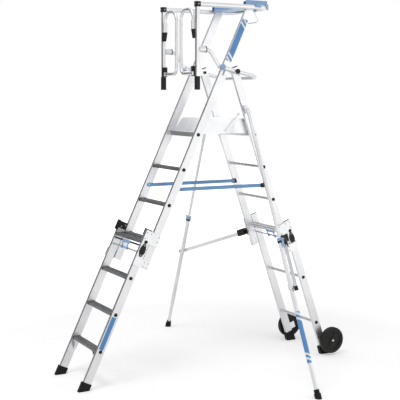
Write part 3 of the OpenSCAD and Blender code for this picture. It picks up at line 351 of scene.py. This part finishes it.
def coated_tread():
    """Dark coated ribs, rubbed brighter in random patches."""
    material, tree, shader = new_finish("dark coated tread")
    grain = noise_at(tree, (300, 12, 300), detail=4.0)
    wear = noise_at(tree, (14, 5, 14), detail=6.0)
    worn = two_tones(tree, wear, COATING_DARK, COATING_RUBBED)
    tree.links.new(worn, shader.inputs["Base Color"])
    tree.links.new(spread(tree, grain, 0.38, 0.6), shader.inputs["Roughness"])
    raise_by(tree, shader, grain, 0.0003, 0.3)
    shader.inputs["Metallic"].default_value = 0.55
    return material


def moulded(name, dark, light, rough_low, rough_high, grain_size=900, height=0.0002, gloss=0.25):
    """Moulded plastic or rubber with a fine grain and a soft change of tone."""
    material, tree, shader = new_finish(name)
    grain = noise_at(tree, (grain_size,) * 3, detail=2.0)
    tone = noise_at(tree, (9, 9, 9), detail=5.0)
    tree.links.new(two_tones(tree, tone, dark, light), shader.inputs["Base Color"])
    tree.links.new(spread(tree, grain, rough_low, rough_high), shader.inputs["Roughness"])
    raise_by(tree, shader, grain, height, 0.35)
    shader.inputs["Specular IOR Level"].default_value = gloss
    return material


print("tread and moulding helpers ready")

# %% Other finishes
BLACKS = ((0.007, 0.0068, 0.0066), (0.014, 0.0135, 0.013))
BLUES = ((0.26, 0.42, 0.66), (0.32, 0.49, 0.74))
TREAD = coated_tread()
BLACK_PLASTIC = moulded("black moulded plastic", *BLACKS, 0.38, 0.52)
BLACK_STEEL = moulded("black coated steel", *BLACKS, 0.28, 0.40, 400)
RUBBER = moulded("black rubber", *BLACKS, 0.62, 0.80, 500, 0.0003, 0.2)
TYRE = moulded("wheel plastic", (0.010, 0.0096, 0.009), (0.018, 0.0172, 0.016), 0.5, 0.66, 600)
BLUE_PLASTIC = moulded("blue moulded plastic", *BLUES, 0.34, 0.46, 700, 0.0001, 0.4)
BLUE_COAT = moulded("blue powder coat", (0.15, 0.32, 0.59), (0.20, 0.39, 0.66), 0.36, 0.50,
                    1200, 0.0001, 0.4)
NAVY_PLASTIC = moulded("dark blue plastic", (0.02, 0.05, 0.16), (0.03, 0.07, 0.20), 0.4, 0.5)
FILM_BLUE = moulded("blue film", (0.085, 0.26, 0.56), (0.11, 0.30, 0.61), 0.30, 0.42, 300, 0.00005, 0.4)
FILM_WHITE = moulded("white film", (0.92, 0.93, 0.94), (0.96, 0.97, 0.98), 0.30, 0.42, 300, 0.00005, 0.4)
ZINC = satin_aluminium("zinc plated wire", stretch=(90, 90, 90), dark=(0.55, 0.56, 0.58),
                       light=(0.68, 0.69, 0.71))
SCREW_STEEL = satin_aluminium("zinc plated screws", stretch=(400, 400, 400), dark=(0.26, 0.26, 0.26),
                              light=(0.38, 0.38, 0.38))
print("plastic, rubber, film and steel finishes ready")

# %% [markdown]
# ## Parts with two colours
# The release handle's rod is bare metal outside its blue grip, the outrigger clamps are blue above
# and black below, and the lower tube of the outrigger carries a printed blue band with white
# stripes. The change of colour follows a place on the part itself, so it moves with the part.
# %% Colour that changes with the place
OUTRIGGER_TOP = Vector((0.22554, 0.296, 2.020))
OUTRIGGER_DOWN = Vector((0.02833, 0.39961, -0.91625))
SLANT_FALL = 0.0309  # keeps a slanted stripe square to the outrigger


def away_from_middle(tree):
    """How far a point is from the ladder's middle plane."""
    place = tree.nodes.new("ShaderNodeTexCoord")
    parts = tree.nodes.new("ShaderNodeSeparateXYZ")
    tree.links.new(place.outputs["Object"], parts.inputs[0])
    size = tree.nodes.new("ShaderNodeMath")
    size.operation = "ABSOLUTE"
    tree.links.new(parts.outputs["Y"], size.inputs[0])
    return parts, size.outputs[0]


def along_outrigger(tree, slant=0.0):
    """Distance down the outrigger from its top, the same on both sides."""
    parts, y_size = away_from_middle(tree)
    mirrored = tree.nodes.new("ShaderNodeCombineXYZ")
    tree.links.new(parts.outputs["X"], mirrored.inputs["X"])
    tree.links.new(y_size, mirrored.inputs["Y"])
    tree.links.new(parts.outputs["Z"], mirrored.inputs["Z"])
    start = tree.nodes.new("ShaderNodeVectorMath")
    start.operation = "SUBTRACT"
    tree.links.new(mirrored.outputs[0], start.inputs[0])
    start.inputs[1].default_value = OUTRIGGER_TOP
    down = tree.nodes.new("ShaderNodeVectorMath")
    down.operation = "DOT_PRODUCT"
    tree.links.new(start.outputs[0], down.inputs[0])
    down.inputs[1].default_value = OUTRIGGER_DOWN - Vector((slant, 0, slant * SLANT_FALL))
    return down.outputs["Value"]


print("outrigger runs down along", tuple(OUTRIGGER_DOWN))

# %% Two finishes in one material


def over(tree, value, limit):
    """1 where value is over the limit, else 0."""
    more = tree.nodes.new("ShaderNodeMath")
    more.operation = "GREATER_THAN"
    tree.links.new(value, more.inputs[0])
    more.inputs[1].default_value = limit
    return more.outputs[0]


def mixed(name, first, second, chooser):
    """Copies both finishes' shaders into one material and lets chooser(tree) pick."""
    material = first.copy()
    material.name = name
    tree = material.node_tree
    copies = {}
    for node in second.node_tree.nodes:
        if node.type == "OUTPUT_MATERIAL":
            continue
        twin = tree.nodes.new(node.bl_idname)
        copies[node] = twin
        for key in ("operation", "blend_type"):
            if hasattr(node, key):
                setattr(twin, key, getattr(node, key))
        for socket, twin_socket in zip(node.inputs, twin.inputs):
            if hasattr(socket, "default_value"):
                twin_socket.default_value = socket.default_value
        if node.type == "VALTORGB":
            for stop, twin_stop in zip(node.color_ramp.elements, twin.color_ramp.elements):
                twin_stop.position, twin_stop.color = stop.position, stop.color
    for link in second.node_tree.links:
        if link.from_node in copies and link.to_node in copies:
            outs = list(link.from_node.outputs)
            ins = list(link.to_node.inputs)
            tree.links.new(copies[link.from_node].outputs[outs.index(link.from_socket)],
                           copies[link.to_node].inputs[ins.index(link.to_socket)])
    shaders = [node for node in tree.nodes if node.type == "BSDF_PRINCIPLED"]
    output = tree.nodes["Material Output"]
    choose = tree.nodes.new("ShaderNodeMixShader")
    tree.links.new(chooser(tree), choose.inputs[0])
    tree.links.new(shaders[0].outputs[0], choose.inputs[1])
    tree.links.new(shaders[1].outputs[0], choose.inputs[2])
    tree.links.new(choose.outputs[0], output.inputs["Surface"])
    return material


print("mixing helpers ready")

# %% Handles and clamps
GRIP_HALF, CLAMP_SPLIT = 0.0655, 1.0435


def outside_grip(tree):
    """1 on the rod beside the blue grip."""
    return over(tree, away_from_middle(tree)[1], GRIP_HALF)


def below_clamp(tree):
    """1 on the black half of an outrigger's clamp."""
    return over(tree, along_outrigger(tree), CLAMP_SPLIT)


HANDLE_AND_ROD = mixed("blue grip on a bare rod", BLUE_PLASTIC, ZINC, outside_grip)
CLAMP = mixed("blue and black clamp", BLUE_PLASTIC, BLACK_PLASTIC, below_clamp)
print("two-colour finishes ready")

# %% Printed band of the outrigger
BAND = (1.575, 1.950)
BAND_SLANT = 0.7
WHITE_STRIPES = ((1.588, 1.605), (1.625, 1.642), (1.884, 1.900), (1.917, 1.934))


def between(tree, value, low, high):
    """1 where value is between two limits, else 0."""
    rest = tree.nodes.new("ShaderNodeMath")
    rest.operation = "SUBTRACT"
    tree.links.new(over(tree, value, low), rest.inputs[0])
    tree.links.new(over(tree, value, high), rest.inputs[1])
    return rest.outputs[0]


def on_band(tree):
    """1 along the printed band."""
    return between(tree, along_outrigger(tree), *BAND)


def on_white_stripe(tree):
    """1 on the slanted white stripes."""
    slanted = along_outrigger(tree, BAND_SLANT)
    total = None
    for low, high in WHITE_STRIPES:
        here = between(tree, slanted, low, high)
        if total is None:
            total = here
            continue
        more = tree.nodes.new("ShaderNodeMath")
        more.operation = "ADD"
        tree.links.new(total, more.inputs[0])
        tree.links.new(here, more.inputs[1])
        total = more.outputs[0]
    return total


def off_blue(tree):
    """1 where the tube is bare or white."""
    blue = tree.nodes.new("ShaderNodeMath")
    blue.operation = "SUBTRACT"
    tree.links.new(on_band(tree), blue.inputs[0])
    tree.links.new(on_white_stripe(tree), blue.inputs[1])
    bare = tree.nodes.new("ShaderNodeMath")
    bare.operation = "LESS_THAN"
    tree.links.new(blue.outputs[0], bare.inputs[0])
    bare.inputs[1].default_value = 0.5
    return bare.outputs[0]


BANDED_TUBE = mixed("tube with a printed band", FILM_BLUE, ALUMINIUM_TUBE, off_blue)
print("printed band ready")

# %% [markdown]
# ## Which part gets which finish
# A table from a finish to the parts that wear it is easier to read and to change than a
# material set part by part.
# %% Dress the solid parts
SIDES = ("right", "left")
wears = {
    ALUMINIUM_FRONT: ["front_upper_stiles", "front_lower_stiles"],
    ALUMINIUM_REAR: ["rear_upper_stiles", "rear_lower_stiles"],
    ALUMINIUM_ACROSS: ["platform_bearer", "rear_upper_rungs", "rear_lower_rungs"],
    ALUMINIUM_TUBE: ["top_rail", "gate_posts", "mid_rail"]
    + [f"{part}_{side}" for part in ("gate", "leg_upper", "leg_brace") for side in SIDES]
    + ["leg_lower_left"],
    BANDED_TUBE: ["leg_lower_right"],
    ALUMINIUM_PLATE: ["front_upper_guides", "front_lower_guides", "rear_upper_guides",
                      "rear_lower_guides",
                      "pivot_brackets", "swivel_forks", "wheel_brackets", "platform"]
    + [f"platform_stay_{side}" for side in SIDES],
    TREAD: ["upper_treads", "lower_treads"],
    BLACK_PLASTIC: ["upper_tread_caps", "lower_tread_caps", "post_caps", "pivot_pins", "gate_brackets",
                    "front_lock_plates", "rear_upper_plugs", "rear_lower_plugs"]
    + [f"brace_ends_{side}" for side in SIDES],
    BLACK_STEEL: ["front_lock_rod", "rear_lock_rod"],
    RUBBER: ["front_feet", "rear_feet"] + [f"leg_foot_{side}" for side in SIDES],
    TYRE: [f"wheel_{side}" for side in SIDES],
    BLUE_PLASTIC: ["tool_tray"] + [f"{part}_{side}" for part in ("knob", "clamp_lever") for side in SIDES],
    HANDLE_AND_ROD: ["front_release_handle", "rear_release_handle"],
    CLAMP: [f"leg_clamp_{side}" for side in SIDES],
    BLUE_COAT: [f"spreader_bar_{side}" for side in SIDES],
    ZINC: ["bucket_bail"],
}
for finish, parts in wears.items():
    for part in parts:
        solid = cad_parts[part]
        solid.data.materials.clear()
        solid.data.materials.append(finish)
undressed = set(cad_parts) - {part for parts in wears.values() for part in parts}
print("parts without a finish:", sorted(undressed))

# %% [markdown]
# ## Film labels on the stiles
# A printed film lies on the outer face of each stile. It is cut as one thin sheet: a rectangle is
# split along slanted lines, the strips between them turn white, and the sheet gets its thickness.
# Cutting real faces keeps the edges of the stripes sharp, where a texture would blur them.
# %% Labels
FILM = 0.0003
LABEL_SLANT = 0.6


def film_label(name, body, place, side, face, along, across, white_bands=()):
    """A thin sheet on a stile's outer face, blue with white slanted strips."""
    sheet = bmesh.new()
    (low, high), (near, far) = along, across
    outline = ((near, low, 0), (far, low, 0), (far, high, 0), (near, high, 0))
    sheet.faces.new([sheet.verts.new(c) for c in outline])
    for edge in [edge for band in white_bands for edge in band]:
        bmesh.ops.bisect_plane(sheet, geom=sheet.verts[:] + sheet.edges[:] + sheet.faces[:],
                               plane_co=(near, edge, 0), plane_no=(LABEL_SLANT, 1, 0))
    for strip in sheet.faces:
        middle = strip.calc_center_median()
        height = middle.y + LABEL_SLANT * (middle.x - near)
        strip.material_index = int(any(bottom < height < top for bottom, top in white_bands))
    raised = bmesh.ops.extrude_face_region(sheet, geom=sheet.faces[:])["geom"]
    for corner in [v for v in raised if isinstance(v, bmesh.types.BMVert)]:
        corner.co.z = FILM
    for corner in sheet.verts:
        corner.co = place(corner.co.y, corner.co.x, side * (face + corner.co.z))
    bmesh.ops.recalc_face_normals(sheet, faces=sheet.faces[:])
    mesh = bpy.data.meshes.new(name)
    sheet.to_mesh(mesh)
    sheet.free()
    label = bpy.data.objects.new(name, mesh)
    bpy.context.scene.collection.objects.link(label)
    for finish in (FILM_BLUE, FILM_WHITE):
        mesh.materials.append(finish)
    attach(label, body)
    return label


print("film thickness:", FILM)

# %% Label places
FRONT_FACE, FRONT_LOW_FACE = 0.246, 0.2505
REAR_FACE, REAR_LOW_FACE = 0.254, 0.2585
TOP_LABEL, LOW_LABEL = (2.650, 3.000), (0.302, 0.554)
TOP_DEPTHS, LOW_DEPTHS = (0.002, 0.052), (-0.058, -0.022)
TOP_STRIPES = [(TOP_LABEL[1] + a, TOP_LABEL[1] + b) for a, b in ((-0.006, 0.010), (-0.042, -0.024))]
TOP_STRIPES += [(TOP_LABEL[0] + a, TOP_LABEL[0] + b) for a, b in ((0.015, 0.032), (0.050, 0.067))]
for side, hand in ((-1, "right"), (1, "left")):
    film_label(f"label_top_{hand}", "front_upper", on_front, side, FRONT_FACE,
               TOP_LABEL, TOP_DEPTHS, TOP_STRIPES)
    film_label(f"label_low_{hand}", "front_lower", on_front, side, FRONT_LOW_FACE,
               LOW_LABEL, LOW_DEPTHS)

# %% [markdown]
# ## Screws and pins
# Plates are held by zinc plated screws with a low round head and a socket. One short list of rings
# describes the head, and each ring is joined to the next one. All screws of one moving group are
# joined in one piece, which keeps the scene light.
# %% Screws
HEAD_RINGS = ((1.0, -0.1), (1.0, 0.45), (0.86, 0.85), (0.62, 1.0), (0.40, 1.0), (0.36, 0.35))
HEAD_SIDES = 16


def add_head(model, centre, axis, radius, height):
    """Adds one round head with a socket to a mesh, its foot at centre and its top along axis."""
    axis = Vector(axis).normalized()
    turn = axis.to_track_quat("Z", "Y").to_matrix()
    rings = []
    for share, level in HEAD_RINGS:
        ring = []
        for i in range(HEAD_SIDES):
            angle = 2 * math.pi * i / HEAD_SIDES
            reach = share * radius
            flat = Vector((math.cos(angle) * reach, math.sin(angle) * reach, level * height))
            ring.append(model.verts.new(Vector(centre) + turn @ flat))
        rings.append(ring)
    model.faces.new(rings[0][::-1])
    model.faces.new(rings[-1])
    for lower, upper in zip(rings, rings[1:]):
        for i in range(HEAD_SIDES):
            j = (i + 1) % HEAD_SIDES
            model.faces.new((lower[i], lower[j], upper[j], upper[i]))


def screw_set(name, body, heads, finish=SCREW_STEEL):
    """One piece with all the heads of a list of (centre, axis, radius, height)."""
    model = bmesh.new()
    for head in heads:
        add_head(model, *head)
    bmesh.ops.recalc_face_normals(model, faces=model.faces[:])
    mesh = bpy.data.meshes.new(name)
    model.to_mesh(mesh)
    model.free()
    piece = bpy.data.objects.new(name, mesh)
    bpy.context.scene.collection.objects.link(piece)
    mesh.materials.append(finish)
    for polygon in mesh.polygons:
        polygon.use_smooth = True
    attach(piece, body)
    return piece


print("rings of a screw head:", len(HEAD_RINGS))

# %% Places of the screws
PLATE, UPPER_GUIDE_FACE = 0.003, 0.012
BOTH = ((-1, "right"), (1, "left"))
DIAMOND_FRONT, DIAMOND_REAR, DIAMOND_SCREW = 1.084, 1.020, 0.038
DIAMOND_HEAD, GUIDE_HEAD, LOCK_HEAD = (0.006, 0.003), (0.0045, 0.0025), (0.0065, 0.003)
LOCK_FACE = FRONT_LOW_FACE - 0.042


def on_both_sides(place, face, places, head):
    """Heads at the same (distance, depth) places on the outer faces of both stiles."""
    return [(place(s, depth, side * face), (0, side, 0), *head) for side, _ in BOTH for s, depth in places]


diamond_front = on_both_sides(on_front, FRONT_LOW_FACE + PLATE,
                              [(DIAMOND_FRONT + t, -0.036) for t in (-DIAMOND_SCREW, DIAMOND_SCREW)],
                              DIAMOND_HEAD)
diamond_rear = on_both_sides(on_rear, REAR_LOW_FACE + PLATE,
                             [(DIAMOND_REAR + t, 0.096) for t in (-DIAMOND_SCREW, DIAMOND_SCREW)],
                             DIAMOND_HEAD)
guide_front_low = on_both_sides(on_front, FRONT_LOW_FACE + PLATE,
                                ((1.172, -0.054), (1.218, -0.054), (1.218, -0.018), (1.180, 0.050),
                                 (1.218, 0.050)), GUIDE_HEAD)
guide_rear_low = on_both_sides(on_rear, REAR_LOW_FACE + PLATE,
                               ((1.092, 0.012), (1.154, 0.012), (1.110, 0.112), (1.154, 0.112),
                                (1.154, 0.076)), GUIDE_HEAD)
guide_front_up = on_both_sides(on_front, FRONT_FACE + UPPER_GUIDE_FACE,
                               ((0.974, 0.014), (0.974, 0.044), (1.008, 0.014), (1.008, 0.044)), GUIDE_HEAD)
guide_rear_up = on_both_sides(on_rear, REAR_FACE + UPPER_GUIDE_FACE,
                              ((0.936, 0.014), (0.936, 0.044), (0.970, 0.014), (0.970, 0.044)), GUIDE_HEAD)
lock_screws = [(on_front(s, d, LOCK_FACE), (0, -1, 0), *LOCK_HEAD)
               for s, d in ((1.206, -0.052), (1.226, -0.022))]
screw_set("screws_front_lower", "front_lower", diamond_front + guide_front_low + lock_screws)
screw_set("screws_rear_lower", "rear_lower", diamond_rear + guide_rear_low)
screw_set("screws_front_upper", "front_upper", guide_front_up)
screw_set("screws_rear_upper", "rear_upper", guide_rear_up)
print("screws:", len(diamond_front + guide_front_low + lock_screws + diamond_rear + guide_rear_low
                     + guide_front_up + guide_rear_up))

# %% Pins of the cage's corners
cap_low, cap_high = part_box("post_caps")
POST_X, POST_Y, RAIL_Z = -0.20437, 0.278, 2.795
corner_pins = [((POST_X + 0.001, side * POST_Y + out * 0.0182, RAIL_Z), (0, out, 0), 0.0065, 0.003)
               for side, _ in BOTH for out in (-1, 1)]
corner_pins += [((POST_X - 0.0182, side * POST_Y, RAIL_Z), (-1, 0, 0), 0.005, 0.002) for side, _ in BOTH]
screw_set("pins_cage_corners", "front_upper", corner_pins)
print("post caps from", [round(v, 3) for v in cap_low], "to", [round(v, 3) for v in cap_high])

# %% [markdown]
# ## The tray's low front and its clips
# The wall of the tray that faces the climber is lower than the others, so that a hand reaches in.
# A copy of the solid tray is cut down there with a block, and stands for the solid one. A dark
# blue clip sits on each end of that wall.
# %% Tray
TRAY_FRONT_TOP = 2.808
TRAY_WALL = 0.003
CLIP_THICK = 0.003
CLIP_LOW, CLIP_HIGH = 2.800, 2.838


def block(name, low, high):
    """A plain block between two corners."""
    model = bmesh.new()
    bmesh.ops.create_cube(model, size=1.0)
    for corner in model.verts:
        corner.co = [(a + b) / 2 + c * (b - a) for a, b, c in zip(low, high, corner.co)]
    mesh = bpy.data.meshes.new(name)
    model.to_mesh(mesh)
    model.free()
    piece = bpy.data.objects.new(name, mesh)
    bpy.context.scene.collection.objects.link(piece)
    return piece


print("block helper:", block.__name__)

# %% Cut the tray and add its clips
tray_low, tray_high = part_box("tool_tray")
TRAY_X, TRAY_HALF = tray_low.x, 0.255
solid_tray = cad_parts["tool_tray"]
cutter = block("tray cutter", (TRAY_X - 0.002, -TRAY_HALF + TRAY_WALL, TRAY_FRONT_TOP),
               (TRAY_X + TRAY_WALL + 0.0015, TRAY_HALF - TRAY_WALL, tray_high.z + 0.01))
tray = solid_tray.copy()
tray.data = solid_tray.data.copy()
tray.name = "tray_low_front"
bpy.context.scene.collection.objects.link(tray)
cut = tray.modifiers.new("cut", "BOOLEAN")
cut.operation = "DIFFERENCE"
cut.object = cutter
cut.solver = "EXACT"
shape = bpy.data.meshes.new_from_object(tray.evaluated_get(bpy.context.evaluated_depsgraph_get()))
tray.modifiers.clear()
tray.data = shape
bpy.data.objects.remove(cutter)
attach(tray, "front_upper")
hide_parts("tool_tray")
for side, hand in BOTH:
    ends = sorted((side * (TRAY_HALF - 0.028), side * (TRAY_HALF - 0.001)))
    clip = block(f"tray_clip_{hand}", (TRAY_X - CLIP_THICK, ends[0], CLIP_LOW),
                 (TRAY_X, ends[1], CLIP_HIGH))
    clip.data.materials.append(NAVY_PLASTIC)
    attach(clip, "front_upper")
print("tray corners:", len(shape.vertices), "of", len(solid_tray.data.vertices))

# %% [markdown]
# ## Housings at the upper end of the outriggers' braces
# Where a brace meets the rear ladder, a chunky black housing holds its swivel. A block is turned
# along the brace, and its edges are rounded with a bevel, as a moulding always has them.
# %% Brace housings
BRACE_LOW, BRACE_HIGH = Vector((0.265, 0.851, 0.747)), Vector((0.585, 0.270, 0.997))
HOUSING_AT = 0.915
HOUSING_SIZE = (0.050, 0.054, 0.072)
for side, hand in BOTH:
    low, high = (Vector((v.x, side * v.y, v.z)) for v in (BRACE_LOW, BRACE_HIGH))
    half = [size / 2 for size in HOUSING_SIZE]
    housing = block(f"brace_housing_{hand}", [-h for h in half], half)
    turn = (high - low).to_track_quat("Z", "Y").to_matrix().to_4x4()
    housing.data.transform(Matrix.Translation(low.lerp(high, HOUSING_AT)) @ turn)
    housing.data.materials.append(BLACK_PLASTIC)
    bevel = housing.modifiers.new("soft edges", "BEVEL")
    bevel.width = 0.006
    bevel.segments = 3
    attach(housing, f"outrigger_{hand}")
print("housings:", HOUSING_SIZE)
